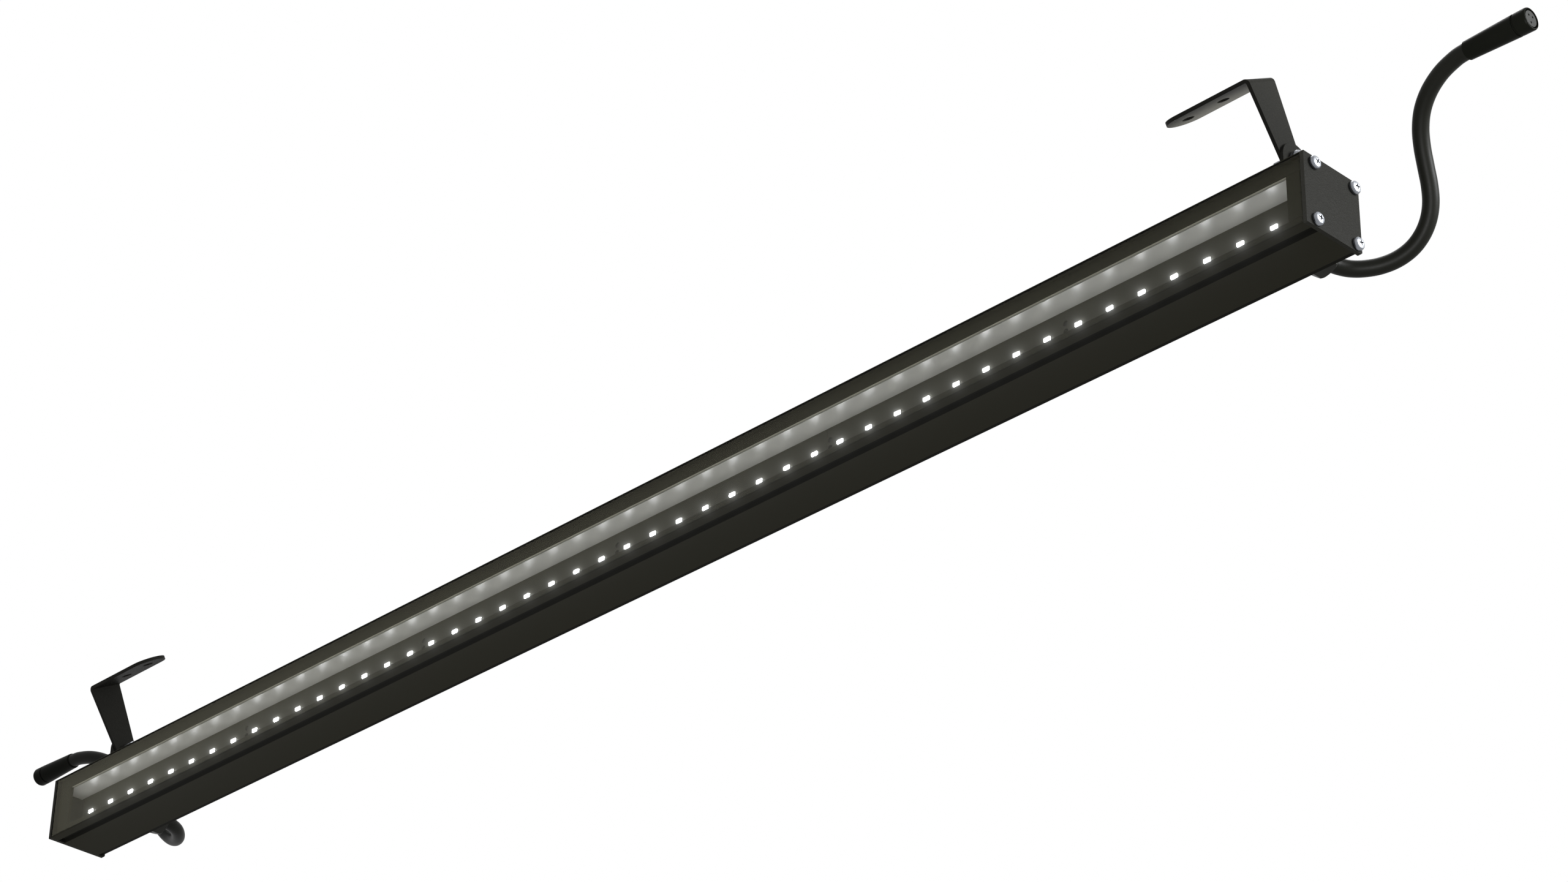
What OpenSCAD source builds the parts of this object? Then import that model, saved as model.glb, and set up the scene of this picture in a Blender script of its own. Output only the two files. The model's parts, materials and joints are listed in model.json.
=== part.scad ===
// Linear light fixture: an extruded housing with a glazed LED channel, two
// tilting end brackets and a short lead with a round connector at each end.
// Millimetres. +X runs along the length, -Y is the lit front, +Z is up.
// The origin is midway between the two bracket tabs, on their fixing plane.

/* [Housing] */
// depth of the housing, front to back
housing_depth = 40; // [36:0.5:48]
// height of the housing
housing_height = 40.15; // [36:0.05:46]
// length of the aluminium extrusion
extrusion_length = 1004.6; // [400:0.1:1500]
// thickness of the gasket under each end plate
gasket_thickness = 0.3; // [0.3:0.1:2]
// thickness of each end plate over the gasket
end_plate_thickness = 1.9; // [1.6:0.1:5]
// depth of each end plate, which reaches a little past the housing's back
end_plate_depth = 41.3; // [40.15:0.05:44]
// thickness of the outer walls
wall = 1.8; // [1.4:0.1:3]

/* [Front] */
// thickness of the front glass
glass_thickness = 3; // [2.5:0.1:6]
// how far the glass sits behind the front edge of the housing
glass_recess = 0.35; // [0.1:0.05:1]
// height of the housing's lip above and below the glass
lip = 0.65; // [0.5:0.05:2]
// width of the dark seal around the glass
seal_width = 0.55; // [0.4:0.05:2]
// width of the gap and its set-back seal at each end of the glass
end_seal_width = 0.5; // [0.4:0.1:3]
// middle of the window above the bottom of the housing
window_middle = 19.75; // [18:0.05:22]
// height of the window between the flanges
window_height = 25.9; // [20:0.1:30]
// length of the window
window_length = 982; // [380:1:1480]
// thickness of the flange behind the glass
flange_thickness = 2; // [1:0.1:3]

/* [LEDs] */
// number of LED boards in a row
board_count = 3; // [1:1:4]
// number of LEDs on each board
leds_per_board = 16; // [8:1:24]
// spacing of the LEDs on a board
led_pitch = 20.95; // [10:0.05:30]
// length of each LED board
board_length = 333.1; // [100:0.1:400]
// LED package width along the board
led_width = 4.1; // [2:0.1:6]
// LED package height
led_height = 2; // [1:0.1:6]
// thickness of an LED package
led_thickness = 1.1; // [0.5:0.05:2]
// height of the LED row above the bottom of the housing
led_middle = 20.8; // [15:0.05:25]
// shift of the LED row along the length
led_shift = 0.75; // [-5:0.05:5]
// distance from the front plane to the LED board
board_from_front = 19.7; // [15:0.1:24]

/* [Brackets] */
// tilt of both brackets in the stored pose, forwards from upright
bracket_tilt = 29.1; // [0:0.1:60]
// pivot to the outer face of the tab
bracket_leg = 45.5; // [35:0.5:80]
// sheet thickness of the brackets
bracket_sheet = 2; // [1.2:0.1:3]
// outer face of each bracket leg, measured from the middle of the length
leg_x = 475.4; // [150:0.1:700]
// length of the tab from the leg's outer face to its round tip
tab_length = 58.1; // [40:0.1:90]
// half width of the tab, and radius of its round tip
tab_half = 11.3; // [8:0.1:16]
// half width of the leg at the pivot
leg_half = 7.4; // [6:0.1:12]
// diameter of the two fixing holes in each tab
tab_hole = 6.5; // [4:0.1:9]
// spacing of the two fixing holes in each tab
tab_hole_pitch = 22.5; // [15:0.5:40]

/* [Feet] */
// sheet thickness of the fixed feet
foot_sheet = 1.6; // [1.2:0.1:3]
// half width of each foot and radius of its round top
foot_half = 9.9; // [8:0.1:14]
// pivot height above the top of the housing
pivot_above_top = 20.7; // [15:0.05:40]
// pivot distance behind the front plane
pivot_from_front = 30.1; // [15:0.1:34]
// length of the foot plate under the bracket
foot_length = 24; // [18:0.5:40]

/* [Leads] */
// distance of each cable gland from the middle of the length
gland_x = 469; // [150:0.5:700]
// height of the gland axis above the bottom of the housing
gland_z = 21; // [12:0.1:28]
// width across flats of the gland hexagons
gland_flats = 18.5; // [14:0.1:24]
// outside diameter of the cable
cord_diameter = 8.5; // [6:0.1:12]
// connector diameter at its cable end
connector_rear = 9.8; // [9:0.1:14]
// connector diameter at its open end
connector_front = 12.1; // [10:0.1:18]
// connector overall length
connector_length = 37.5; // [25:0.5:60]

/* [Hidden] */
$fn = 48;
e = 0.01;
t = bracket_tilt;
front_y = -(pivot_from_front - bracket_leg * sin(t));
bottom_z = -(housing_height + pivot_above_top + bracket_leg * cos(t));
half = extrusion_length / 2;
plate_in = half + gasket_thickness;
plate_out = plate_in + end_plate_thickness;
mid_z = window_middle;
win_lo = mid_z - window_height / 2;
win_hi = mid_z + window_height / 2;
flange_front = glass_recess + glass_thickness + 0.05;
flange_back = flange_front + flange_thickness;
board_back = board_from_front + 1.6;
web_back = board_back + 2.2;
back_in = housing_depth - wall;
screw_y = [7.6, 37.6];
screw_z = [4.15, housing_height - 4.15];
plate_rim = 1.5;
foot_screw_y = [-4, 4];
ear_x = leg_x + 0.15;
nut_x = leg_x - bracket_sheet - 2.6;
pivot_y = pivot_from_front;
pivot_z = housing_height + pivot_above_top;
gland_face = housing_depth;
nut_end = 59.6;
row_pitch = 1000 / 3;
first_board = -row_pitch * (board_count - 1) / 2;
led_back = board_from_front - led_thickness;
pair_offset = 2.2;
pair_x = [for (i = [-2:2]) i * row_pitch / 2 + pair_offset];
pair_z = [20.6, 25.3];
// Route of the right lead's centre line from the housing's front bottom edge,
// from the gland to the connector; the left lead is its mirror image.
route = [
    [469, 59.6, 21], [469, 62, 21], [470, 67, 20.9], [473, 73, 20.8],
    [478, 78.2, 21], [484.5, 82.8, 21.9], [492, 86.3, 24], [499.5, 88.2, 27.6],
    [506, 88.4, 32.6], [511.2, 87.2, 38.6], [515, 84.8, 45.3],
    [517.7, 81, 52.5], [519.9, 76.1, 60], [522.5, 70.7, 67.4],
    [526.2, 65.4, 74.2], [531.7, 60.6, 80.4], [539.4, 56.6, 85.6],
    [549, 53.5, 89.5], [559, 51.7, 91.7], [565, 51.2, 92.2], [568, 51.2, 92.2]
];
conn_x = 566.5;
conn_y = 51.2;
conn_z = 92.2;

// ---- helpers ------------------------------------------------------------
// everything but the brackets is drawn from the housing's front bottom edge
module at_housing() { translate([0, front_y, bottom_z]) children(); }
module side(s) { if (s < 0) mirror([1, 0, 0]) children(); else children(); }
module along_x(x0, x1) {
    translate([x0, 0, 0]) rotate([90, 0, 90]) linear_extrude(x1 - x0) children();
}
module box(x0, x1, y0, y1, z0, z1) {
    translate([x0, y0, z0]) cube([x1 - x0, y1 - y0, z1 - z0]);
}
module rod_x(x0, x1, y, z, r) {
    translate([x0, y, z]) rotate([0, 90, 0]) cylinder(h = x1 - x0, r = r);
}
module rod_y(y0, y1, x, z, r) {
    translate([x, y0, z]) rotate([-90, 0, 0]) cylinder(h = y1 - y0, r = r);
}
// pan head along +Z with a cross recess; its seat is at z = 0
module pan_head(r, h) {
    difference() {
        rotate_extrude() polygon([[0, 0], [r, 0], [r, 0.42 * h], [0.93 * r, 0.66 * h],
            [0.76 * r, 0.85 * h], [0.48 * r, 0.97 * h], [0, h]]);
        intersection() {
            union() {
                translate([-r, -0.11 * r, 0.2 * h]) cube([2 * r, 0.22 * r, h]);
                translate([-0.11 * r, -r, 0.2 * h]) cube([0.22 * r, 2 * r, h]);
            }
            translate([0, 0, 0.2 * h]) cylinder(h = h, r1 = 0.13 * r, r2 = 0.56 * r);
        }
    }
}
module pan_screw(r, l, head_r, head_h) {
    translate([0, 0, -l]) cylinder(h = l + 0.2, r = r);
    pan_head(head_r, head_h);
}

// ---- housing ------------------------------------------------------------
module half_grooves() {
    // front groove with a sloping back side, and the stepped back edge
    polygon([[5.7, -1], [10.9, -1], [10.9, 0], [9.4, 1.9], [5.7, 1.9]]);
    translate([36.3, -1]) square([5, 2.25]);
}
module mirror_z() { translate([0, housing_height]) mirror([0, 1]) children(); }
module profile() {
    difference() {
        polygon([[0.3, 0], [housing_depth - 0.4, 0], [housing_depth, 0.4],
            [housing_depth, housing_height - 0.4], [housing_depth - 0.4, housing_height],
            [0.3, housing_height], [0, housing_height - 0.3], [0, 0.3]]);
        // rebate for the glass
        translate([-1, lip]) square([flange_front + 1, housing_height - 2 * lip]);
        // window between the flanges, then the LED channel
        translate([0, win_lo]) square([flange_back + e, window_height]);
        translate([flange_back, win_lo - 0.5])
            square([board_back - flange_back, window_height + 1]);
        // back compartment, leaving a screw port in each back corner
        difference() {
            translate([web_back, wall]) square([back_in - web_back, housing_height - 2 * wall]);
            translate([33, 0]) square([10, 7.6]);
            translate([33, housing_height - 7.6]) square([10, 8]);
        }
        half_grooves();
        mirror_z() half_grooves();
    }
}
module housing() {
    color([0.13, 0.13, 0.11]) at_housing() difference() {
        along_x(-half, half) profile();
        for (s = [-1, 1]) {
            for (y = screw_y, z = screw_z)
                side(s) rod_x(half - 16, half + 1, y, z, 1.75);
            side(s) rod_y(back_in - 1, housing_depth + 1, gland_x, gland_z, 7.7);
            for (y = foot_screw_y) side(s)
                translate([leg_x - 13, pivot_y + y, housing_height - 6])
                    cylinder(h = 7, r = 2.05);
        }
        for (x = pair_x) rod_y(board_back - 1, web_back + 1, x, pair_z[1], 1.1);
    }
}
module end_gasket(s) {
    color([0.06, 0.06, 0.06]) at_housing() side(s) difference() {
        box(half, plate_in, plate_rim + 0.05, housing_depth - plate_rim - 0.05,
            plate_rim + 0.05, housing_height - plate_rim - 0.05);
        for (y = screw_y, z = screw_z) rod_x(half - 1, plate_in + 1, y, z, 1.9);
    }
}
module end_gasket_left() { end_gasket(-1); }
module end_gasket_right() { end_gasket(1); }
module end_plate(s) {
    color([0.2, 0.2, 0.18]) at_housing() side(s) difference() {
        along_x(half, plate_out)
            polygon([[0.25, 0], [end_plate_depth - 0.9, 0], [end_plate_depth, 0.9],
                [end_plate_depth, housing_height - 0.9],
                [end_plate_depth - 0.9, housing_height], [0.25, housing_height],
                [0, housing_height - 0.25], [0, 0.25]]);
        // shallow pocket that holds the gasket
        box(half - 1, plate_in, plate_rim, housing_depth - plate_rim, plate_rim,
            housing_height - plate_rim);
        for (y = screw_y, z = screw_z) rod_x(half - 1, plate_out + 1, y, z, 1.9);
    }
}
module end_plate_left() { end_plate(-1); }
module end_plate_right() { end_plate(1); }
module end_screws(s) {
    color([0.8, 0.82, 0.85]) at_housing() side(s)
        for (y = screw_y, z = screw_z)
            translate([plate_out, y, z]) rotate([0, 90, 0])
                rotate([0, 0, 20 + 37 * y + 11 * z]) pan_screw(1.7, 17, 3.5, 2.8);
}
module end_screws_left() { end_screws(-1); }
module end_screws_right() { end_screws(1); }

// ---- front --------------------------------------------------------------
module front_glass() {
    color([0.75, 0.8, 0.82, 0.35]) at_housing()
        box(-half + end_seal_width + 0.05, half - end_seal_width - 0.05, glass_recess,
            glass_recess + glass_thickness, lip + seal_width, housing_height - lip - seal_width);
}
module glass_seal(s) {
    color([0.05, 0.05, 0.05]) at_housing() side(s)
        box(half - end_seal_width, half, glass_recess + 0.85, flange_front - 0.02, lip + 0.02,
            housing_height - lip - 0.02);
}
module glass_seal_left() { glass_seal(-1); }
module glass_seal_right() { glass_seal(1); }
module glass_bead(z0) {
    color([0.05, 0.05, 0.05]) at_housing()
        box(-half + end_seal_width + 0.05, half - end_seal_width - 0.05, glass_recess,
            glass_recess + 0.75, z0, z0 + seal_width - 0.04);
}
module glass_seal_upper() { glass_bead(housing_height - lip - seal_width + 0.02); }
module glass_seal_lower() { glass_bead(lip + 0.02); }
module window_end(s) {
    color([0.15, 0.15, 0.12]) at_housing() side(s)
        box(window_length / 2, half, flange_front, flange_back,
            win_lo + 0.06, win_hi - 0.06);
}
module window_end_left() { window_end(-1); }
module window_end_right() { window_end(1); }
module reflector(z0, z1) {
    color([0.55, 0.55, 0.53]) at_housing()
        box(-half + 0.2, half - 0.2, flange_back + 0.35, board_from_front - 0.02, z0, z1);
}
module reflector_upper() { reflector(win_hi, win_hi + 0.48); }
module reflector_lower() { reflector(win_lo - 0.48, win_lo); }

// ---- LED boards -----------------------------------------------------------
module led_board(i) {
    x = first_board + i * row_pitch;
    color([0.22, 0.22, 0.2]) at_housing() difference() {
        box(x - board_length / 2, x + board_length / 2, board_from_front,
            board_back, win_lo - 0.45, win_hi + 0.45);
        for (px = pair_x, pz = pair_z)
            if (abs(px - x) < board_length / 2)
                rod_y(board_from_front - 1, board_back + 1, px, pz, 1.6);
    }
}
module led_board_1() { led_board(0); }
module led_board_2() { led_board(1); }
module led_board_3() { led_board(2); }
module led_row(i) {
    x = first_board + i * row_pitch;
    color([0.95, 0.95, 0.98]) at_housing()
        for (k = [0 : leds_per_board - 1])
            translate([x + led_shift + (k - (leds_per_board - 1) / 2) * led_pitch, 0, led_middle])
                difference() {
                    box(-led_width / 2, led_width / 2, led_back, board_from_front,
                        -led_height / 2, led_height / 2);
                    box(-led_width / 2 + 0.15, led_width / 2 - 0.15, led_back - 1,
                        led_back + 0.25, -led_height / 2 + 0.15, led_height / 2 - 0.15);
                }
}
module leds_1() { led_row(0); }
module leds_2() { led_row(1); }
module leds_3() { led_row(2); }
module board_screws() {
    // small screws sunk in the upper hole of each pair
    color([0.2, 0.2, 0.2]) at_housing() for (x = pair_x) {
        rod_y(board_from_front + 0.9, board_back, x, pair_z[1], 1.5);
        rod_y(board_back - e, web_back, x, pair_z[1], 1.05);
    }
}

// ---- back compartment -----------------------------------------------------
module driver_case() {
    color([0.75, 0.76, 0.75]) at_housing() {
        box(-150, 150, web_back, 37.5, 8.5, 31.5);
    }
}
module terminal(s) {
    color([0.85, 0.85, 0.8]) at_housing() side(s) difference() {
        box(405, 428, web_back, 32.6, 2.4, 22);
        for (k = [0 : 2]) rod_y(30, 34, 411 + k * 5.5, 15, 1.6);
    }
}
module terminal_left() { terminal(-1); }
module terminal_right() { terminal(1); }
module through_wires() {
    color([0.3, 0.2, 0.15]) at_housing()
        for (p = [[25.4, 4], [28.4, 4], [31.2, 4]]) rod_x(-405, 405, p[0], p[1], 1.2);
}

// ---- feet and brackets ----------------------------------------------------
module foot(s) {
    b = foot_sheet;
    r = 2.6;
    x1 = ear_x + b;
    color([0.2, 0.2, 0.18]) at_housing() side(s) difference() {
        union() {
            box(ear_x, x1, pivot_y - foot_half, pivot_y + foot_half,
                housing_height + r, pivot_z);
            rod_x(ear_x, x1, pivot_y, pivot_z, foot_half);
            box(x1 - foot_length, x1 - r, pivot_y - foot_half, pivot_y + foot_half,
                housing_height, housing_height + b);
            intersection() {
                rod_y(pivot_y - foot_half, pivot_y + foot_half, x1 - r, housing_height + r, r);
                box(x1 - r, x1, pivot_y - foot_half, pivot_y + foot_half,
                    housing_height, housing_height + r);
            }
        }
        rod_y(pivot_y - foot_half - 1, pivot_y + foot_half + 1, x1 - r,
            housing_height + r, r - b);
        rod_x(ear_x - 1, x1 + 1, pivot_y, pivot_z, 2.55);
        for (y = foot_screw_y)
            translate([leg_x - 13, pivot_y + y, housing_height - 1]) cylinder(h = 4, r = 2.1);
    }
}
module foot_left() { foot(-1); }
module foot_right() { foot(1); }
module foot_screws(s) {
    color([0.8, 0.82, 0.85]) at_housing() side(s) for (y = foot_screw_y)
        translate([leg_x - 13, pivot_y + y, housing_height + foot_sheet])
            rotate([0, 0, 25 + 7 * y]) pan_screw(2, 6.8, 3.9, 2.6);
}
module foot_screws_left() { foot_screws(-1); }
module foot_screws_right() { foot_screws(1); }

// the tilting bracket is drawn about its pivot: X outwards, Y across, Z up the leg
module bracket(s) {
    b = bracket_sheet;
    r = 3;
    g = (tab_half - leg_half) / (bracket_leg - r);
    a = atan(g);
    tip = leg_x - tab_length;
    color([0.2, 0.2, 0.18]) translate([0, front_y + pivot_y, bottom_z + pivot_z])
        rotate([t, 0, 0]) side(s) difference() {
            union() {
                // leg, tapering down to a round end about the pivot
                along_x(leg_x - b, leg_x) union() {
                    circle(r = leg_half * cos(a));
                    polygon([[-leg_half, 0], [leg_half, 0],
                        [leg_half + g * (bracket_leg - r), bracket_leg - r],
                        [-leg_half - g * (bracket_leg - r), bracket_leg - r]]);
                }
                // bend
                intersection() {
                    rod_y(-tab_half, tab_half, leg_x - r, bracket_leg - r, r);
                    box(leg_x - r, leg_x, -tab_half, tab_half, bracket_leg - r, bracket_leg);
                }
                // tab with a round tip
                box(tip + tab_half, leg_x - r, -tab_half, tab_half,
                    bracket_leg - b, bracket_leg);
                translate([tip + tab_half, 0, bracket_leg - b]) cylinder(h = b, r = tab_half);
            }
            rod_y(-tab_half - 1, tab_half + 1, leg_x - r, bracket_leg - r, r - b);
            rod_x(leg_x - b - 1, leg_x + 1, 0, 0, 2.55);
            for (k = [0, 1]) translate([tip + tab_half + k * tab_hole_pitch, 0, bracket_leg - 4])
                cylinder(h = 6, r = tab_hole / 2);
        }
}
module bracket_left() { bracket(-1); }
module bracket_right() { bracket(1); }
module pivot_bolt(s) {
    color([0.8, 0.82, 0.85]) at_housing() side(s)
        translate([ear_x + foot_sheet + 1, pivot_y, pivot_z]) rotate([0, 90, 0])
            rotate([0, 0, 30]) pan_screw(2.5, ear_x + foot_sheet + 1 - (nut_x - 6), 5, 3.7);
}
module pivot_bolt_left() { pivot_bolt(-1); }
module pivot_bolt_right() { pivot_bolt(1); }
module pivot_nut(s) {
    color([0.8, 0.82, 0.85]) at_housing() side(s) difference() {
        intersection() {
            translate([nut_x - 5.2, pivot_y, pivot_z]) rotate([0, 90, 0])
                rotate([0, 0, 10]) cylinder(h = 5.2, r = 8 / sqrt(3), $fn = 6);
            translate([nut_x - 5.2, pivot_y, pivot_z]) rotate([0, 90, 0])
                rotate_extrude() polygon([[0, 0], [3.4, 0], [4.7, 1.2], [4.7, 5.2], [0, 5.2]]);
        }
        rod_x(nut_x - 8, nut_x + 1, pivot_y, pivot_z, 2.52);
    }
}
module pivot_nut_left() { pivot_nut(-1); }
module pivot_nut_right() { pivot_nut(1); }
module pivot_washers(s) {
    color([0.8, 0.82, 0.85]) at_housing() side(s) difference() {
        union() {
            rod_x(ear_x + foot_sheet, ear_x + foot_sheet + 1, pivot_y, pivot_z, 5);
            rod_x(nut_x, leg_x - bracket_sheet - 0.1, pivot_y, pivot_z, 3.4);
        }
        rod_x(leg_x - 8, leg_x + 6, pivot_y, pivot_z, 2.6);
    }
}
module pivot_washers_left() { pivot_washers(-1); }
module pivot_washers_right() { pivot_washers(1); }

// ---- cable glands ---------------------------------------------------------
module hex_y(y0, y1, af) {
    rotate([-90, 0, 0]) translate([0, 0, y0]) rotate([0, 0, -20.7])
        cylinder(h = y1 - y0, r = af / sqrt(3), $fn = 6);
}
module at_gland(s) { at_housing() side(s) translate([gland_x, 0, gland_z]) children(); }
module gland_ring(s) {
    color([0.05, 0.05, 0.05]) at_gland(s) difference() {
        rod_y(gland_face, gland_face + 1.2, 0, 0, 9);
        rod_y(gland_face - 1, gland_face + 2, 0, 0, 7.65);
    }
}
module gland_ring_left() { gland_ring(-1); }
module gland_ring_right() { gland_ring(1); }
module gland_body(s) {
    color([0.16, 0.16, 0.15]) at_gland(s) difference() {
        union() {
            rod_y(34, gland_face + 1.3, 0, 0, 7.55);
            hex_y(gland_face + 1.2, gland_face + 6, gland_flats);
            rod_y(gland_face + 5, 52, 0, 0, 7.3);
        }
        rod_y(33, 53, 0, 0, 4.6);
    }
}
module gland_body_left() { gland_body(-1); }
module gland_body_right() { gland_body(1); }
module gland_nut(s) {
    r = gland_flats / sqrt(3);
    color([0.16, 0.16, 0.15]) at_gland(s) difference() {
        intersection() {
            hex_y(gland_face + 6.4, nut_end, gland_flats);
            rotate([-90, 0, 0]) rotate_extrude() polygon([[0, gland_face + 6.4],
                [r - 0.9, gland_face + 6.4], [r, gland_face + 7.1], [r, nut_end - 2.6],
                [r - 0.7, nut_end - 1.3], [r - 2.2, nut_end - 0.3], [r - 3.2, nut_end],
                [0, nut_end]]);
        }
        rod_y(gland_face + 6, 53.2, 0, 0, 7.4);
        rod_y(53, nut_end + 1, 0, 0, 4.8);
    }
}
module gland_nut_left() { gland_nut(-1); }
module gland_nut_right() { gland_nut(1); }
module gland_seal(s) {
    color([0.05, 0.05, 0.05]) at_gland(s) rod_y(53, nut_end, 0, 0, 4.7);
}
module gland_seal_left() { gland_seal(-1); }
module gland_seal_right() { gland_seal(1); }
module gland_locknut(s) {
    color([0.16, 0.16, 0.15]) at_gland(s) difference() {
        hex_y(back_in - 3.2, back_in, 18);
        rod_y(back_in - 4, back_in + 1, 0, 0, 7.6);
    }
}
module gland_locknut_left() { gland_locknut(-1); }
module gland_locknut_right() { gland_locknut(1); }

// ---- leads ----------------------------------------------------------------
function unit(v) = v / norm(v);
function tangent(p, i) = i == 0 ? unit(p[1] - p[0])
    : i == len(p) - 1 ? unit(p[i] - p[i - 1]) : unit(p[i + 1] - p[i - 1]);
function flat(v, n) = unit(v - n * (v * n));
function normals(p, i) = i == 0 ? [flat([0, 0, 1], tangent(p, 0))]
    : let (prev = normals(p, i - 1)) concat(prev, [flat(prev[i - 1], tangent(p, i))]);
module tube(p, r, sides) {
    n = normals(p, len(p) - 1);
    pts = [for (i = [0 : len(p) - 1]) let (c = tangent(p, i), u = n[i], v = cross(c, u))
        for (k = [0 : sides - 1]) p[i] + r * (cos(360 * k / sides) * u + sin(360 * k / sides) * v)];
    last = (len(p) - 1) * sides;
    faces = concat(
        [[for (k = [0 : sides - 1]) k]],
        [[for (k = [sides - 1 : -1 : 0]) last + k]],
        [for (i = [0 : len(p) - 2]) for (k = [0 : sides - 1]) let (k2 = (k + 1) % sides)
            [i * sides + k, (i + 1) * sides + k, (i + 1) * sides + k2, i * sides + k2]]);
    polyhedron(points = pts, faces = faces, convexity = 6);
}
module cord(s) {
    color([0.1, 0.1, 0.09]) at_housing() side(s) tube(route, cord_diameter / 2, 12);
}
module cord_left() { cord(-1); }
module cord_right() { cord(1); }
module at_connector(s) {
    at_housing() side(s) translate([conn_x, conn_y, conn_z]) rotate([0, 90, 0]) children();
}
ring_z = 0.8 * connector_length;
ring_r = connector_rear / 2 + (connector_front - connector_rear) / 2 * 0.83;
module connector_body(s) {
    color([0.06, 0.06, 0.06]) at_connector(s) difference() {
        rotate_extrude() polygon([[0, 0], [connector_rear / 2 - 0.3, 0],
            [connector_rear / 2, 0.3], [ring_r, ring_z - 1], [ring_r - 0.7, ring_z - 1],
            [ring_r - 0.7, ring_z], [0, ring_z]]);
        translate([0, 0, -1]) cylinder(h = 2.5, r = cord_diameter / 2 + 0.12);
    }
}
module connector_body_left() { connector_body(-1); }
module connector_body_right() { connector_body(1); }
module connector_ring(s) {
    r = connector_front / 2;
    color([0.06, 0.06, 0.06]) at_connector(s) difference() {
        rotate_extrude() polygon([[0, ring_z], [ring_r - 0.25, ring_z], [ring_r, ring_z + 0.3],
            [r - 0.1, connector_length - 0.9], [r - 0.35, connector_length - 0.25],
            [r - 0.75, connector_length], [0, connector_length]]);
        translate([0, 0, ring_z + 1.2]) cylinder(h = 20, r = r - 0.95);
    }
}
module connector_ring_left() { connector_ring(-1); }
module connector_ring_right() { connector_ring(1); }
module pin_spots() {
    for (a = [45, 135, 270]) rotate([0, 0, a + 90]) translate([2.15, 0, 0]) children();
}
module connector_insert(s, h) {
    color([0.35, 0.35, 0.33]) at_connector(s) difference() {
        translate([0, 0, ring_z + 1.2]) cylinder(h = h - ring_z - 1.2, r = connector_front / 2 - 1.75);
        pin_spots() translate([0, 0, h - 5]) cylinder(h = 6, r = 0.55);
    }
}
module connector_insert_left() { connector_insert(-1, connector_length - 5.2 + 3); }
module connector_insert_right() { connector_insert(1, connector_length - 0.35); }
module connector_pins_left() {
    color([0.85, 0.7, 0.35]) at_connector(-1) pin_spots()
        translate([0, 0, ring_z + 1.2])
            cylinder(h = connector_length - 2 - ring_z, r = 0.5);
}
module connector_sockets_right() {
    color([0.85, 0.7, 0.35]) at_connector(1) pin_spots()
        translate([0, 0, connector_length - 5.35]) cylinder(h = 2.4, r = 0.5);
}

housing();
glass_seal_left();
glass_seal_right();
glass_seal_upper();
glass_seal_lower();
window_end_left();
window_end_right();
reflector_upper();
reflector_lower();
led_board_1();
led_board_2();
led_board_3();
leds_1();
leds_2();
leds_3();
board_screws();
driver_case();
terminal_left();
terminal_right();
through_wires();
end_gasket_left();
end_gasket_right();
end_plate_left();
end_plate_right();
end_screws_left();
end_screws_right();
foot_left();
foot_right();
foot_screws_left();
foot_screws_right();
bracket_left();
bracket_right();
pivot_bolt_left();
pivot_bolt_right();
pivot_nut_left();
pivot_nut_right();
pivot_washers_left();
pivot_washers_right();
gland_ring_left();
gland_ring_right();
gland_body_left();
gland_body_right();
gland_nut_left();
gland_nut_right();
gland_seal_left();
gland_seal_right();
gland_locknut_left();
gland_locknut_right();
cord_left();
cord_right();
connector_body_left();
connector_body_right();
connector_ring_left();
connector_ring_right();
connector_insert_left();
connector_insert_right();
connector_pins_left();
connector_sockets_right();
front_glass();
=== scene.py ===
import bpy, bmesh, json, math
from mathutils import Vector, Matrix

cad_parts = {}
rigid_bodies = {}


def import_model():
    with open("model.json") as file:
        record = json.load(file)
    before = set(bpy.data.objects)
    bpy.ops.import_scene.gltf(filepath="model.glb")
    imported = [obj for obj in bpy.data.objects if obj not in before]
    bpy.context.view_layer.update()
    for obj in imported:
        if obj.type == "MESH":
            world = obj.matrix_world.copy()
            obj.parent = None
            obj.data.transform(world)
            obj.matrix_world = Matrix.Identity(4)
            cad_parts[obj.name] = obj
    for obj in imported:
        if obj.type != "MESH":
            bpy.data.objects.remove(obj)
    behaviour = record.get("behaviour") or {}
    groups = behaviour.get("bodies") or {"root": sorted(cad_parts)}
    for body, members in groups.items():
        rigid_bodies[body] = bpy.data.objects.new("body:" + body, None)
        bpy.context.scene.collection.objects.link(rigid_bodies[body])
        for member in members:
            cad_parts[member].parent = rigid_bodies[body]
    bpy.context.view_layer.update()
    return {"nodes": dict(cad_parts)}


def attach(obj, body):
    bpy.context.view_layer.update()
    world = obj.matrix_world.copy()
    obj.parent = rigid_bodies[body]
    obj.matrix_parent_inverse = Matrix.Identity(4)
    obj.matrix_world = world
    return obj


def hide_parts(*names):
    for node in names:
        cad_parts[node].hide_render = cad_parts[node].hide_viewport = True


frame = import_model()

# ---- frame of the part ------------------------------------------------------
# the housing's front bottom edge is at (FY, BZ), in millimetres
T = math.radians(29.1)
FY = -(30.1 - 45.5 * math.sin(T))
BZ = -(39.5 + 21.35 + 45.5 * math.cos(T))


def at(x, y, z):
    """A point given in millimetres from the housing's front bottom edge, in metres."""
    return Vector((x, y + FY, z + BZ)) / 1000.0


# ---- camera -----------------------------------------------------------------
cam_data = bpy.data.cameras.new("view")
cam_data.sensor_width = 36.0
cam_data.lens = 6467.0 / 2560.0 * 36.0
cam_data.clip_start, cam_data.clip_end = 0.05, 400.0
cam = bpy.data.objects.new("view", cam_data)
bpy.context.scene.collection.objects.link(cam)
right = Vector((0.6983, 0.7156, 0.0163))
up = Vector((0.3489, -0.3601, 0.8652))
back = right.cross(up).normalized()
up = back.cross(right).normalized()
right.normalize()
m = Matrix.Identity(4)
for i in range(3):
    m[i][0], m[i][1], m[i][2] = right[i], up[i], back[i]
m.translation = Vector((1.45397, -1.25247, -1.1204))
cam.matrix_world = m
bpy.context.scene.camera = cam


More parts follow.
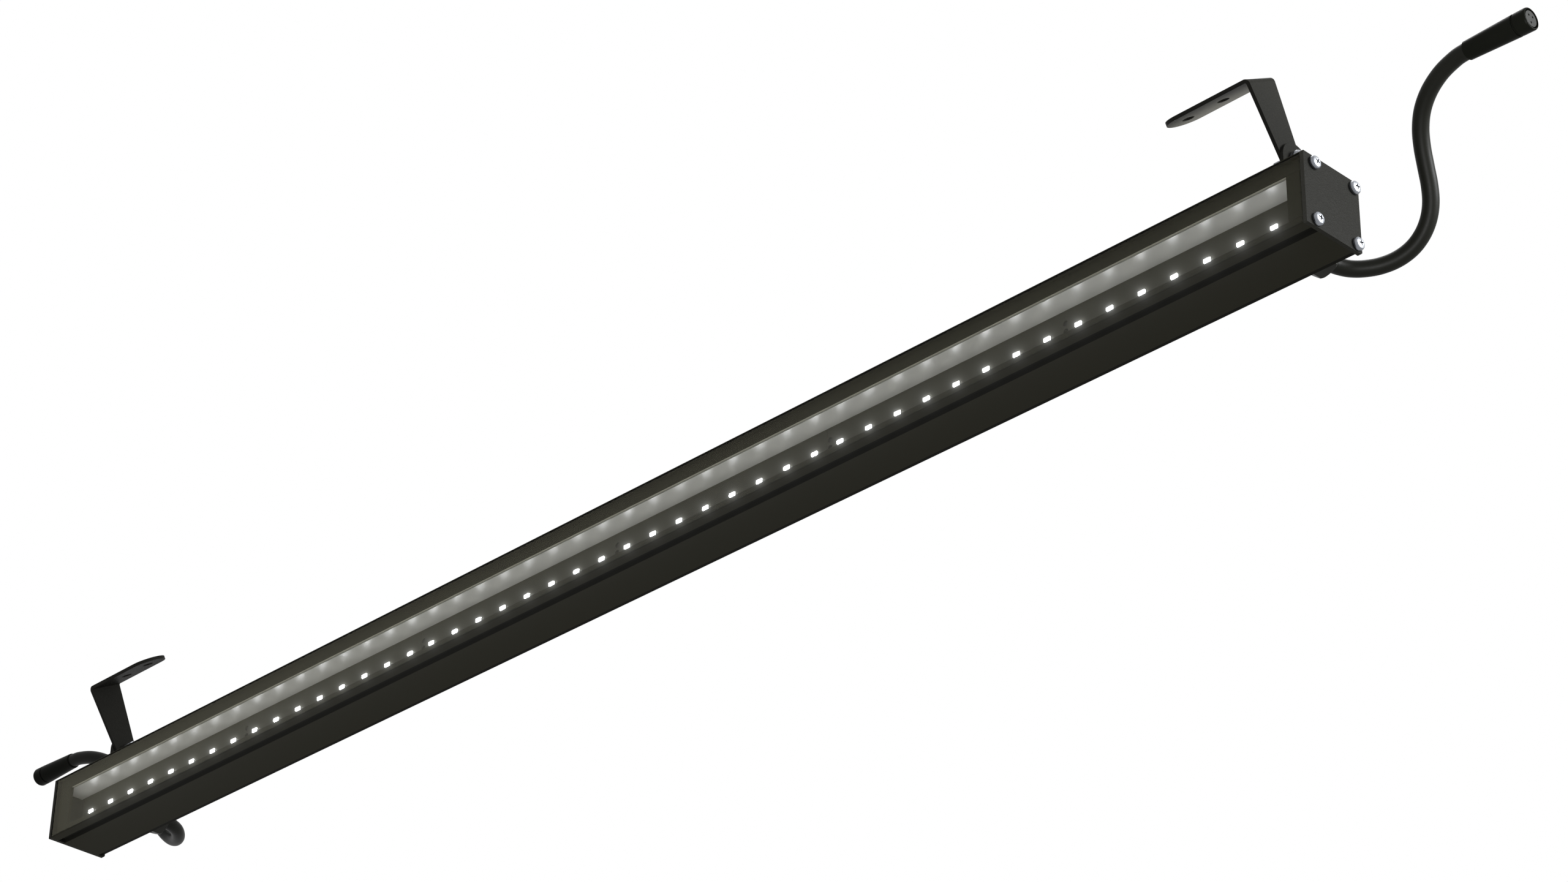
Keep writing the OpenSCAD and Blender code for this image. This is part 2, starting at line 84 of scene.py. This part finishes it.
# ---- node helpers -----------------------------------------------------------
class Mat:
    """A small builder for one node material on a Principled shader."""

    def __init__(self, name, **values):
        self.m = bpy.data.materials.new(name)
        self.m.use_nodes = True
        self.t = self.m.node_tree
        self.p = self.t.nodes["Principled BSDF"]
        self.out = self.t.nodes["Material Output"]
        for k, v in values.items():
            self.p.inputs[k.replace("_", " ")].default_value = v
        self.co = self.node("ShaderNodeTexCoord").outputs["Object"]

    def node(self, kind, **inputs):
        n = self.t.nodes.new(kind)
        for k, v in inputs.items():
            n.inputs[k.replace("_", " ")].default_value = v
        return n

    def link(self, a, b):
        self.t.links.new(a, b)
        return b

    def noise(self, scale, detail=3.0, rough=0.55, stretch=None):
        n = self.node("ShaderNodeTexNoise", Scale=scale, Detail=detail, Roughness=rough)
        self.link(self.stretched(stretch), n.inputs["Vector"])
        return n.outputs["Fac"]

    def voronoi(self, scale, stretch=None, feature="F1"):
        n = self.node("ShaderNodeTexVoronoi", Scale=scale)
        n.feature = feature
        self.link(self.stretched(stretch), n.inputs["Vector"])
        return n.outputs["Distance"]

    def stretched(self, stretch):
        if stretch is None:
            return self.co
        n = self.node("ShaderNodeMapping", Scale=stretch)
        self.link(self.co, n.inputs["Vector"])
        return n.outputs["Vector"]

    def ramp(self, fac, *stops):
        n = self.node("ShaderNodeValToRGB")
        r = n.color_ramp
        while len(r.elements) < len(stops):
            r.elements.new(0.5)
        for e, (pos, col) in zip(r.elements, stops):
            e.position = pos
            e.color = (*col, 1) if len(col) == 3 else col
        self.link(fac, n.inputs["Fac"])
        return n.outputs["Color"]

    def remap(self, fac, a, b, lo=0.0, hi=1.0):
        n = self.node("ShaderNodeMapRange", From_Min=lo, From_Max=hi, To_Min=a, To_Max=b)
        self.link(fac, n.inputs["Value"])
        return n.outputs["Result"]

    def math(self, op, a, b=None):
        n = self.node("ShaderNodeMath")
        n.operation = op
        for i, v in enumerate((a, b)):
            if v is None:
                continue
            if isinstance(v, (int, float)):
                n.inputs[i].default_value = v
            else:
                self.link(v, n.inputs[i])
        return n.outputs[0]

    def axis(self, which, source=None):
        n = self.node("ShaderNodeSeparateXYZ")
        self.link(source or self.co, n.inputs[0])
        return n.outputs[which]

    def mix(self, fac, a, b):
        n = self.t.nodes.new("ShaderNodeMix")
        n.data_type = "RGBA"
        for sock, v in (("A_Color", a), ("B_Color", b)):
            s = next(i for i in n.inputs if i.identifier == sock)
            if isinstance(v, (tuple, list)):
                s.default_value = (*v, 1)
            else:
                self.link(v, s)
        s = next(i for i in n.inputs if i.identifier == "Factor_Float")
        if isinstance(fac, (int, float)):
            s.default_value = fac
        else:
            self.link(fac, s)
        return next(o for o in n.outputs if o.identifier == "Result_Color")

    def bevel(self, radius, samples=4):
        n = self.node("ShaderNodeBevel", Radius=radius)
        n.samples = samples
        return n.outputs["Normal"]

    def bump(self, height, distance, strength=1.0, normal=None):
        n = self.node("ShaderNodeBump", Strength=strength, Distance=distance)
        self.link(height, n.inputs["Height"])
        if normal is not None:
            self.link(normal, n.inputs["Normal"])
        return n.outputs["Normal"]

    def edge_wear(self, radius=0.0006, low=0.02, high=0.25):
        """1 along sharp edges and 0 elsewhere, from how far a bevelled normal leans."""
        b = self.node("ShaderNodeBevel", Radius=radius)
        b.samples = 4
        g = self.node("ShaderNodeNewGeometry")
        d = self.node("ShaderNodeVectorMath")
        d.operation = "DOT_PRODUCT"
        self.link(b.outputs["Normal"], d.inputs[0])
        self.link(g.outputs["True Normal"], d.inputs[1])
        lean = self.math("SUBTRACT", 1.0, d.outputs["Value"])
        return self.remap(lean, 0.0, 1.0, low, high)

    def finish(self, color=None, rough=None, normal=None):
        if color is not None:
            self.link(color, self.p.inputs["Base Color"])
        if rough is not None:
            self.link(rough, self.p.inputs["Roughness"])
        if normal is not None:
            self.link(normal, self.p.inputs["Normal"])
        return self.m


# ---- materials --------------------------------------------------------------
# the coats are matt, so their index of refraction is kept close to that of air
def powder(name, dark, light, grain=1300.0, depth=0.00007, rough=(0.42, 0.55), ior=1.10,
           edge=0.00035, wear=0.16, painted_edge_light=None):
    """A wrinkled powder coat: leathery cells, slow colour drift and rubbed edges."""
    k = Mat(name, IOR=ior)
    slow = k.noise(14.0, 4.0, 0.6)
    fine = k.noise(grain, 5.0, 0.6)
    cells = k.voronoi(grain * 0.8)
    base = k.mix(k.remap(slow, 0.0, 1.0, 0.3, 0.7), dark, light)
    base = k.mix(k.remap(fine, 0.0, 0.55, 0.3, 0.75), base, tuple(0.72 * c for c in dark))
    base = k.mix(k.remap(cells, 0.0, 0.35, 0.1, 0.8), base, tuple(1.35 * c for c in light))
    surface_colour = k.mix(k.math("MULTIPLY", k.edge_wear(), wear), base, tuple(2.2 * c for c in light))
    if painted_edge_light:
        # painted light: the side faces are painted paler than the coat, most at the front, standing in for light
        # falling on them
        g = k.node("ShaderNodeNewGeometry")
        across = k.math("ABSOLUTE", k.axis("X", g.outputs["True Normal"]))
        on_edge = k.remap(across, 1.0, 0.0, 0.55, 0.8)
        front = k.remap(k.axis("Y"), 1.0, 0.0, (FY + 0.2) / 1000.0, (FY + 1.0) / 1000.0)
        edge_light_colour = k.mix(front, (0.0150, 0.0147, 0.0114), painted_edge_light)
        edge_light_colour = k.mix(k.remap(fine, 0.0, 0.5, 0.3, 0.7), edge_light_colour, (0.0130, 0.0128, 0.0100))
        surface_colour = k.mix(on_edge, surface_colour, edge_light_colour)
    height = k.math("ADD", fine, k.math("MULTIPLY", cells, 0.7))
    n = k.bump(height, depth, 1.0, k.bevel(edge))
    return k.finish(surface_colour, k.remap(slow, rough[0], rough[1], 0.3, 0.7), n)


def extrusion(name, edge_bands_and_painted_shade=True):
    """The housing: a finer coat with faint lines along the extrusion; with edge_bands_and_painted_shade on, bare
    flange edges and painted shade in the grooves and stepped back edges.
    """
    k = Mat(name, IOR=1.06)
    slow = k.noise(9.0, 4.0, 0.6, (0.35, 1.0, 1.0))
    fine = k.noise(1500.0, 4.0, 0.6)
    lines = k.noise(600.0, 2.0, 0.5, (0.01, 1.0, 1.0))
    base = k.mix(k.remap(slow, 0.0, 1.0, 0.3, 0.7), (0.0142, 0.0136, 0.0090), (0.0164, 0.0157, 0.0106))
    base = k.mix(k.remap(fine, 0.0, 0.5, 0.3, 0.7), base, (0.0118, 0.0113, 0.0075))
    surface_colour = k.mix(k.math("MULTIPLY", k.edge_wear(0.0005), 0.16), base, (0.040, 0.039, 0.033))

    def within(which, offset, lo, hi, soft=0.05):
        """1 where a coordinate, in millimetres from the housing's front bottom edge, is between two values."""
        v = k.math("MULTIPLY", k.math("SUBTRACT", k.axis(which), offset / 1000.0), 1000.0)
        a = k.remap(v, 0.0, 1.0, lo - soft, lo + soft)
        return k.math("MULTIPLY", a, k.remap(v, 1.0, 0.0, hi - soft, hi + soft))

    if edge_bands_and_painted_shade:
        # bare metal on the inner edges of the window's flanges
        depth = within("Y", FY, 3.85, 5.4, 0.1)
        edges = k.math("ADD", within("Z", BZ, 32.5, 32.9), within("Z", BZ, 6.6, 7.0))
        bare = k.mix(k.remap(fine, 0.0, 1.0, 0.3, 0.7), (0.25, 0.243, 0.195), (0.31, 0.30, 0.243))
        bare = k.mix(within("Y", FY, 4.6, 5.6, 0.2), bare, (0.17, 0.166, 0.14))
        surface_colour = k.mix(k.math("MULTIPLY", depth, edges), surface_colour, bare)
        # painted shade: the grooves and the stepped back edges are painted near black, standing in for the shade
        # that falls in them and makes them look darker
        step = k.math("ADD", within("Z", BZ, -2.0, 1.4), within("Z", BZ, 38.1, 42.0))
        painted_shade = k.math("MULTIPLY", step, within("Y", FY, 36.2, 39.98))
        groove = k.math("ADD", within("Z", BZ, 0.1, 3.0), within("Z", BZ, 36.5, 39.4))
        painted_shade = k.math("MAXIMUM", painted_shade, k.math("MULTIPLY", groove, within("Y", FY, 5.6, 11.0)))
        surface_colour = k.mix(k.math("MULTIPLY", painted_shade, 0.75), surface_colour, (0.002, 0.002, 0.0016))
    height = k.math("ADD", fine, k.math("MULTIPLY", lines, 0.3))
    n = k.bump(height, 0.00004, 1.0, k.bevel(0.0003))
    return k.finish(surface_colour, k.remap(slow, 0.42, 0.55, 0.3, 0.7), n)


def plastic(name, color, ior=1.2, rough=(0.34, 0.5), grain=1500.0, depth=0.00003, edge=0.0003):
    """Moulded plastic: slow drift, fine grain and edges rubbed lighter."""
    k = Mat(name, IOR=ior)
    slow = k.noise(40.0, 4.0, 0.6)
    fine = k.noise(grain, 3.0, 0.6)
    base = k.mix(k.remap(slow, 0.0, 1.0, 0.3, 0.7), tuple(0.85 * c for c in color),
                 tuple(1.2 * c for c in color))
    surface_colour = k.mix(k.math("MULTIPLY", k.edge_wear(0.0004), 0.15), base, tuple(3.0 * c + 0.01 for c in color))
    n = k.bump(fine, depth, 1.0, k.bevel(edge))
    return k.finish(surface_colour, k.remap(slow, rough[0], rough[1], 0.3, 0.7), n)


def rubber(name, color, rough=(0.38, 0.5), ior=1.12, scuffs=1.6):
    """Smooth rubber with a slow bloom and light scuffs."""
    k = Mat(name, IOR=ior)
    slow = k.noise(30.0, 3.0, 0.5)
    fine = k.noise(2600.0, 3.0, 0.6)
    scuff = k.noise(500.0, 6.0, 0.7)
    base = k.mix(k.remap(slow, 0.0, 1.0, 0.3, 0.7), tuple(0.93 * c for c in color),
                 tuple(1.08 * c for c in color))
    base = k.mix(k.remap(scuff, 0.0, 0.3, 0.62, 0.85), base, tuple(scuffs * c for c in color))
    n = k.bump(fine, 0.000012, 1.0)
    return k.finish(base, k.remap(scuff, rough[0], rough[1], 0.3, 0.75), n)


def zinc(name, low=(0.19, 0.20, 0.22), high=(0.25, 0.26, 0.28)):
    """Zinc plating: metal with a faint blue cast, fine drawn marks, and painted shade in the recesses and round
    the foot of each head.
    """
    k = Mat(name, Metallic=1.0)
    slow = k.noise(180.0, 4.0, 0.6)
    fine = k.noise(2500.0, 4.0, 0.6)
    base = k.mix(k.remap(slow, 0.0, 1.0, 0.35, 0.65), low, high)
    # painted shade: near black where the surface is occluded, in the cross recesses and where a head meets the
    # plate
    painted_recess_shade = k.node("ShaderNodeAmbientOcclusion", Distance=0.0010)
    painted_recess_shade.samples = 8
    base = k.mix(k.remap(painted_recess_shade.outputs["AO"], 0.95, 0.0, 0.42, 0.90), base, (0.02, 0.02, 0.02))
    n = k.bump(fine, 0.00002, 1.0, k.bevel(0.0003))
    return k.finish(base, k.remap(slow, 0.28, 0.40, 0.3, 0.7), n)


def anodised(name, color, rough, metal=0.0, ior=1.45):
    """Satin sheet with faint rolling lines along its length."""
    k = Mat(name, Metallic=metal, IOR=ior)
    lines = k.noise(900.0, 3.0, 0.6, (0.02, 1.0, 1.0))
    slow = k.noise(25.0, 3.0, 0.6)
    base = k.mix(k.remap(slow, 0.0, 1.0, 0.3, 0.7), tuple(0.95 * c for c in color), color)
    n = k.bump(lines, 0.00001, 1.0)
    return k.finish(base, k.remap(slow, rough - 0.02, rough + 0.02, 0.3, 0.7), n)


def clear_glass(name):
    """Clear coated glass: light passes straight through, with a faint mirror image on its
    outer face that grows towards a glancing view."""
    m_ = bpy.data.materials.new(name)
    m_.use_nodes = True
    t = m_.node_tree
    t.nodes.clear()
    out = t.nodes.new("ShaderNodeOutputMaterial")
    mix = t.nodes.new("ShaderNodeMixShader")
    clear = t.nodes.new("ShaderNodeBsdfTransparent")
    gloss = t.nodes.new("ShaderNodeBsdfGlossy")
    co = t.nodes.new("ShaderNodeTexCoord")
    noise = t.nodes.new("ShaderNodeTexNoise")
    ramp = t.nodes.new("ShaderNodeMapRange")
    bump = t.nodes.new("ShaderNodeBump")
    clear.inputs["Color"].default_value = (0.97, 0.975, 0.972, 1)
    noise.inputs["Scale"].default_value = 6.0
    noise.inputs["Detail"].default_value = 3.0
    ramp.inputs["To Min"].default_value = 0.01
    ramp.inputs["To Max"].default_value = 0.05
    bump.inputs["Distance"].default_value = 0.0002
    bump.inputs["Strength"].default_value = 0.15
    t.links.new(co.outputs["Object"], noise.inputs["Vector"])
    t.links.new(noise.outputs["Fac"], ramp.inputs["Value"])
    t.links.new(ramp.outputs["Result"], gloss.inputs["Roughness"])
    t.links.new(noise.outputs["Fac"], bump.inputs["Height"])
    t.links.new(bump.outputs["Normal"], gloss.inputs["Normal"])

    def calc(op, a, b):
        n = t.nodes.new("ShaderNodeMath")
        n.operation = op
        for i, v in enumerate((a, b)):
            if isinstance(v, float):
                n.inputs[i].default_value = v
            else:
                t.links.new(v, n.inputs[i])
        return n.outputs[0]

    lean = t.nodes.new("ShaderNodeLayerWeight")
    lean.inputs["Blend"].default_value = 0.5
    geo = t.nodes.new("ShaderNodeNewGeometry")
    grow = calc("POWER", lean.outputs["Facing"], 5.0)
    part = calc("ADD", calc("MULTIPLY", grow, 0.988), 0.010)
    outer = calc("MULTIPLY", part, calc("SUBTRACT", 1.0, geo.outputs["Backfacing"]))
    # the coating's warm tint fades to white at a glancing angle
    tint = t.nodes.new("ShaderNodeValToRGB")
    tint.color_ramp.elements[0].position = 0.53
    tint.color_ramp.elements[0].color = (1.0, 0.955, 0.74, 1)
    tint.color_ramp.elements[1].position = 0.80
    tint.color_ramp.elements[1].color = (1.0, 0.99, 0.965, 1)
    t.links.new(lean.outputs["Facing"], tint.inputs["Fac"])
    t.links.new(tint.outputs["Color"], gloss.inputs["Color"])
    t.links.new(outer, mix.inputs["Fac"])
    t.links.new(clear.outputs["BSDF"], mix.inputs[1])
    t.links.new(gloss.outputs["BSDF"], mix.inputs[2])
    t.links.new(mix.outputs["Shader"], out.inputs["Surface"])
    return m_


def solder_mask(name):
    """Dark grey board: matt lacquer with a slow drift in tone and a fine grain."""
    k = Mat(name, IOR=1.15)
    slow = k.noise(30.0, 4.0, 0.6)
    fine = k.noise(1800.0, 3.0, 0.6)
    base = k.mix(k.remap(slow, 0.0, 1.0, 0.3, 0.7), (0.038, 0.0365, 0.0290), (0.046, 0.0445, 0.0355))
    n = k.bump(fine, 0.00002, 1.0)
    return k.finish(base, k.remap(fine, 0.45, 0.6, 0.3, 0.7), n)


def led_light(name, strength):
    """The lit face of an LED: cool white with a faint mottle."""
    k = Mat(name, **{"Roughness": 0.4, "Base_Color": (0.9, 0.9, 0.88, 1)})
    n = k.noise(3500.0, 3.0, 0.6)
    glow = k.ramp(n, (0.3, (0.95, 0.97, 1.0)), (0.7, (1.0, 1.0, 1.0)))
    k.link(glow, k.p.inputs["Emission Color"])
    k.p.inputs["Emission Strength"].default_value = strength
    return k.m


LED_POWER = 40.0
COAT = ((0.0090, 0.0088, 0.0075), (0.0107, 0.0105, 0.0090))
PLATE = ((0.0074, 0.0072, 0.0061), (0.0088, 0.0086, 0.0073))
M = {
    "housing": extrusion("powder_coat_extrusion"),
    "window_end": extrusion("powder_coat_window", False),
    # painted light: the right plate's front edge is painted much paler than the left plate's, standing in for the
    # light that falls on the right end
    "end_plate_right": powder("powder_coat_plate_right_painted_lit_edge", *PLATE, depth=0.00020, ior=1.07, painted_edge_light=(0.031, 0.0305, 0.026)),
    "end_plate_left": powder("powder_coat_plate_left_painted_dim_edge", *PLATE, depth=0.00020, ior=1.07, painted_edge_light=(0.0145, 0.0142, 0.0118)),
    "bracket": powder("powder_coat_bracket", *COAT, depth=0.00010, ior=1.07),
    "front_glass": clear_glass("clear_glass"),
    "glass_seal": rubber("black_silicone", (0.0035, 0.0035, 0.0032), ior=1.05),
    # painted light: the lower seal is a lighter grey copy of the black silicone, standing in for the light that
    # falls on it
    "glass_seal_lower": rubber("lower_seal_painted_light", (0.026, 0.0255, 0.0205), ior=1.05),
    "gasket": rubber("black_gasket", (0.006, 0.006, 0.006)),
    "reflector": anodised("satin_reflector", (0.375, 0.369, 0.345), 0.34, ior=1.6),
    "board": solder_mask("board_lacquer"),
    "led_light": led_light("led_light", LED_POWER),
    "led_side": led_light("led_side", 0.72 * LED_POWER),
    "led_body": plastic("led_body", (0.50, 0.50, 0.48), 1.3, (0.3, 0.45), 2500.0, 0.00001, 0.0001),
    "board_screw": plastic("blackened_steel", (0.02, 0.02, 0.02), 1.3, (0.3, 0.4), 2500.0, 0.00001, 0.0001),
    "driver": anodised("driver_case", (0.55, 0.55, 0.54), 0.4, 0.6),
    "terminal": plastic("terminal_block", (0.55, 0.55, 0.50), 1.45),
    "wires": plastic("wire_insulation", (0.10, 0.045, 0.02), 1.45),
    "zinc": zinc("zinc_plate"),
    "gland": plastic("gland_nylon", (0.0125, 0.0125, 0.0110), 1.12),
    "gland_rubber": rubber("gland_rubber", (0.006, 0.006, 0.006)),
    "cord": rubber("cable_sheath", (0.0042, 0.0043, 0.0032), (0.42, 0.48), 1.15, 1.4),
    "connector": plastic("connector_plastic", (0.0034, 0.0036, 0.0027), 1.07, (0.3, 0.4), 1500.0, 0.00001),
    "insert": plastic("connector_insert", (0.009, 0.009, 0.008), 1.12),
    "contact": anodised("gilt_contact", (0.75, 0.55, 0.22), 0.3, 1.0),
}
WHICH = [
    ("end_plate_left", "end_plate_left"), ("end_plate_right", "end_plate_right"), ("bracket", "bracket"), ("foot_screws", "zinc"), ("foot", "bracket"),
    ("front_glass", "front_glass"), ("glass_seal_lower", "glass_seal_lower"), ("glass_seal", "glass_seal"), ("window_end", "window_end"),
    ("end_gasket", "gasket"), ("reflector", "reflector"), ("led_board", "board"),
    ("board_screws", "board_screw"), ("driver_case", "driver"), ("terminal", "terminal"),
    ("through_wires", "wires"), ("end_screws", "zinc"), ("pivot", "zinc"),
    ("gland_ring", "gland_rubber"), ("gland_seal", "gland_rubber"), ("gland", "gland"),
    ("connector_insert", "insert"), ("connector_pins", "contact"), ("connector_sockets", "contact"),
    ("connector", "connector"), ("housing", "housing"),
]
for name in frame["nodes"]:
    for start, mat in WHICH:
        if name.startswith(start):
            o = bpy.data.objects[name]
            if not o.material_slots:
                o.data.materials.append(M[mat])
            for s in o.material_slots:
                s.link = "OBJECT"
                s.material = M[mat]
            break

# ---- leads ------------------------------------------------------------------
ROUTE = [
    (469, 59.6, 21), (469, 62, 21), (470, 67, 20.9), (473, 73, 20.8),
    (478, 78.2, 21), (484.5, 82.8, 21.9), (492, 86.3, 24), (499.5, 88.2, 27.6),
    (506, 88.4, 32.6), (511.2, 87.2, 38.6), (515, 84.8, 45.3),
    (517.7, 81, 52.5), (519.9, 76.1, 60), (522.5, 70.7, 67.4),
    (526.2, 65.4, 74.2), (531.7, 60.6, 80.4), (539.4, 56.6, 85.6),
    (549, 53.5, 89.5), (559, 51.7, 91.7), (565, 51.2, 92.2), (568, 51.2, 92.2),
]


def smooth_path(points, per=8):
    """Catmull-Rom points through the route, evenly enough spaced for a round tube."""
    p = [Vector(v) for v in points]
    p = [2 * p[0] - p[1]] + p + [2 * p[-1] - p[-2]]
    out = []
    for i in range(1, len(p) - 2):
        a, b, c, d = p[i - 1 : i + 3]
        for k in range(per):
            u = k / per
            out.append(0.5 * (2 * b + (c - a) * u + (2 * a - 5 * b + 4 * c - d) * u * u
                              + (3 * b - a - 3 * c + d) * u ** 3))
    out.append(p[-2])
    return out


def tube(name, path, radius, mat, sides=40):
    """A closed round tube swept along the path with frames that don't twist."""
    bm = bmesh.new()
    n = len(path)
    tan = [(path[min(i + 1, n - 1)] - path[max(i - 1, 0)]).normalized() for i in range(n)]
    u = Vector((0, 0, 1))
    rings = []
    for p, t in zip(path, tan):
        u = (u - t * u.dot(t)).normalized()
        v = t.cross(u)
        rings.append([bm.verts.new(p + radius * (math.cos(a) * u + math.sin(a) * v))
                      for a in (2 * math.pi * k / sides for k in range(sides))])
    for a, b in zip(rings, rings[1:]):
        for k in range(sides):
            bm.faces.new((a[k], a[(k + 1) % sides], b[(k + 1) % sides], b[k]))
    bm.faces.new(list(reversed(rings[0])))
    bm.faces.new(rings[-1])
    bmesh.ops.recalc_face_normals(bm, faces=bm.faces[:])
    mesh = bpy.data.meshes.new(name)
    bm.to_mesh(mesh)
    bm.free()
    for f in mesh.polygons:
        f.use_smooth = len(f.vertices) == 4
    o = bpy.data.objects.new(name, mesh)
    bpy.context.scene.collection.objects.link(o)
    mesh.materials.append(mat)
    return o


BODY = "luminaire"
for s, side in ((1, "right"), (-1, "left")):
    pts = smooth_path([at(s * x, y, z) for x, y, z in ROUTE])
    lead = tube("lead_" + side, pts, 0.00425, M["cord"])
    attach(lead, BODY)
    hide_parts("cord_" + side)
    on_it = ["connector_body_", "connector_ring_", "connector_insert_"]
    on_it = [n + side for n in on_it] + [
        "connector_sockets_right" if s > 0 else "connector_pins_left"]

# ---- LED packages -----------------------------------------------------------
PITCH, ROW = 20.95, 1000.0 / 3.0
BOARD_Y, LED_H = 19.7, 1.1
W, H = 4.1, 2.0
LED_Z, SHIFT = 20.8, 0.75


def led_row(i):
    """Sixteen moulded packages: a body, a glowing clear cap round it and the lit face."""
    bm = bmesh.new()
    mats = {"body": 0, "light": 1, "side": 2}

    def ring(cx, w, h, y, cut):
        pts = []
        for sx, sz in ((1, 1), (-1, 1), (-1, -1), (1, -1)):
            a, b = Vector((cx + sx * w / 2, sz * h / 2 - sz * cut)), Vector((cx + sx * (w / 2 - cut), sz * h / 2))
            pts += [a, b] if sx * sz > 0 else [b, a]
        return [bm.verts.new(at(p[0], y, LED_Z + p[1])) for p in pts]

    def skin(a, b, mat):
        for k in range(len(a)):
            f = bm.faces.new((a[k], a[(k + 1) % len(a)], b[(k + 1) % len(a)], b[k]))
            f.material_index = mats[mat]

    for k in range(16):
        cx = (i - 1) * ROW + (k - 7.5) * PITCH + SHIFT
        front = BOARD_Y - LED_H
        r0 = ring(cx, W, H, BOARD_Y, 0.1)
        r1 = ring(cx, W, H, front + 0.6, 0.1)
        r2 = ring(cx, W - 0.15, H - 0.15, front, 0.12)
        r3 = ring(cx, W - 0.4, H - 0.4, front, 0.12)
        r4 = ring(cx, W - 0.5, H - 0.5, front + 0.05, 0.12)
        skin(r0, r1, "body")
        skin(r1, r2, "side")
        skin(r2, r3, "side")
        skin(r3, r4, "side")
        f = bm.faces.new(r4)
        f.material_index = mats["light"]
        f = bm.faces.new(list(reversed(r0)))
        f.material_index = mats["body"]
    bmesh.ops.recalc_face_normals(bm, faces=bm.faces[:])
    mesh = bpy.data.meshes.new(f"led_packages_{i + 1}")
    bm.to_mesh(mesh)
    bm.free()
    for m_ in ("led_body", "led_light", "led_side"):
        mesh.materials.append(M[m_])
    o = bpy.data.objects.new(f"led_packages_{i + 1}", mesh)
    bpy.context.scene.collection.objects.link(o)
    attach(o, BODY)
    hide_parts(f"leds_{i + 1}")
    return o


rows = [led_row(i) for i in range(3)]

# ---- floor, world and lights --------------------------------------------------
bm = bmesh.new()
bmesh.ops.create_grid(bm, x_segments=1, y_segments=1, size=150.0)
mesh = bpy.data.meshes.new("floor")
bm.to_mesh(mesh)
bm.free()
floor = bpy.data.objects.new("floor", mesh)
floor.location = (0, 0, -6.3)
bpy.context.scene.collection.objects.link(floor)
fm = bpy.data.materials.new("pale_floor")
fm.use_nodes = True
fm.node_tree.nodes["Principled BSDF"].inputs["Base Color"].default_value = (0.9, 0.9, 0.9, 1)
fm.node_tree.nodes["Principled BSDF"].inputs["Roughness"].default_value = 0.9
mesh.materials.append(fm)

world = bpy.data.worlds.new("studio")
sc = bpy.context.scene
sc.world = world
world.use_nodes = True
back_light = world.node_tree.nodes["Background"]
back_light.inputs["Color"].default_value = (1, 1, 1, 1)
back_light.inputs["Strength"].default_value = 1.0


def area(name, place, aim, size, power, color=(1, 1, 1)):
    """A round soft light that the camera does not see."""
    d = bpy.data.lights.new(name, "AREA")
    d.shape = "DISK"
    d.size = size
    d.energy = power
    d.color = color
    o = bpy.data.objects.new(name, d)
    o.location = place
    o.rotation_mode = "QUATERNION"
    o.rotation_quaternion = (Vector(aim) - Vector(place)).to_track_quat("-Z", "Y")
    o.visible_camera = False
    sc.collection.objects.link(o)
    return o


area("right", (0.98, 0.30, 0.10), (0.5, 0.02, -0.06), 0.30, 13.5, (0.96, 0.98, 1.0))
lead_light = area("lead", (0.736, -0.236, -0.295), (0.52, 0.07, -0.045), 0.2, 2.7)
lit_things = bpy.data.collections.new("lit_by_lead_light")
for o_ in list(bpy.data.objects):
    if o_.name.startswith(("lead_right", "connector_body_right", "connector_ring_right", "gland_")) and o_.type == "MESH":
        lit_things.objects.link(o_)
lead_light.light_linking.receiver_collection = lit_things
under_light = area("under", (0.36, 0.30, -0.60), (0.43, 0.0, 0.0), 0.3, 7.0)
under_light.data.spread = math.radians(50)
lit_tabs = bpy.data.collections.new("lit_by_under_light")
for o_ in list(bpy.data.objects):
    if o_.name.startswith("bracket_") and o_.type == "MESH":
        lit_tabs.objects.link(o_)
under_light.light_linking.receiver_collection = lit_tabs
area("top", (-0.2, 0.5, 2.2), (0, 0, 0), 1.6, 20.0)

sc.view_settings.view_transform = "Standard"
sc.view_settings.look = "None"
sc.view_settings.exposure = 0.0
sc.view_settings.gamma = 1.0

# ---- the soft glow that a lens adds around the lit LEDs ------------------------
sc.use_nodes = True
ct = sc.node_tree
ct.nodes.clear()
layers = ct.nodes.new("CompositorNodeRLayers")
glare = ct.nodes.new("CompositorNodeGlare")
final = ct.nodes.new("CompositorNodeComposite")
glare.glare_type = "BLOOM"
glare.quality = "HIGH"
glare.inputs["Threshold"].default_value = 1.6
glare.inputs["Smoothness"].default_value = 0.1
glare.inputs["Strength"].default_value = 0.10
glare.inputs["Size"].default_value = 0.25
ct.links.new(layers.outputs["Image"], glare.inputs["Image"])
ct.links.new(glare.outputs["Image"], final.inputs["Image"])

# ---- last update of the scene -------------------------------------------------
bpy.context.view_layer.update()
